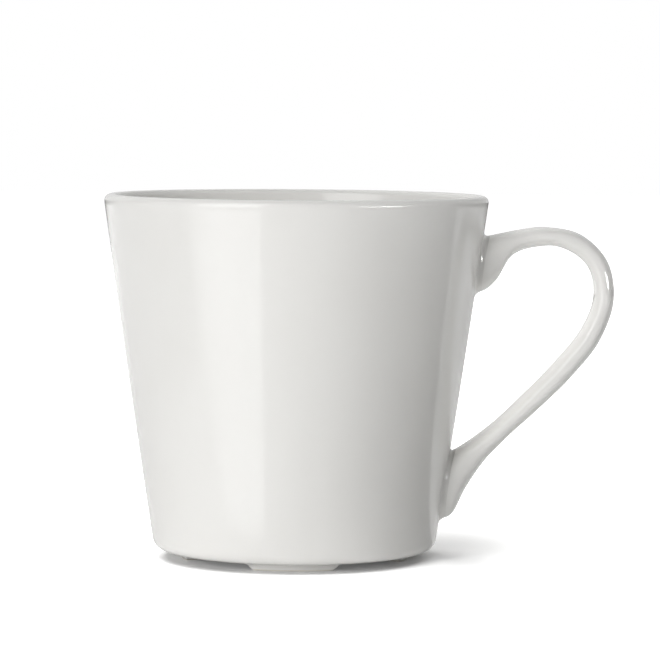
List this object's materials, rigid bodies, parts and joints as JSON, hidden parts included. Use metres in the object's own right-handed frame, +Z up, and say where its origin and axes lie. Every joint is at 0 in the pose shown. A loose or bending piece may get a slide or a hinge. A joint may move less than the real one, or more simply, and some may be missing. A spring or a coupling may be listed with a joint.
{
  "type": "ceramic mug",
  "caption": "Straight-sided tapered ceramic mug with a notched foot ring and a slender looped strap handle that runs diagonally back to the wall.",
  "frame": {"origin": "middle of the footprint, handle included, on the plane that the foot ring stands on; the cup's own axis is 15.6 mm along -X", "axes": "+Z up through the open mouth, +X towards the handle, Y across the handle's strap"},
  "size_m": [0.1262, 0.095, 0.09],
  "materials": {
    "cup_glaze": "clear gloss glaze over white porcelain, bare and matt under the foot ring",
    "handle_glaze": "clear gloss glaze over white porcelain",
    "slip": "fired clay slip under the same gloss glaze"
  },
  "bodies": {
    "root": {"cup_body": "cup_glaze", "handle": "handle_glaze", "upper_slip_joint": "slip", "lower_slip_joint": "slip"}
  },
  "joints": []
}
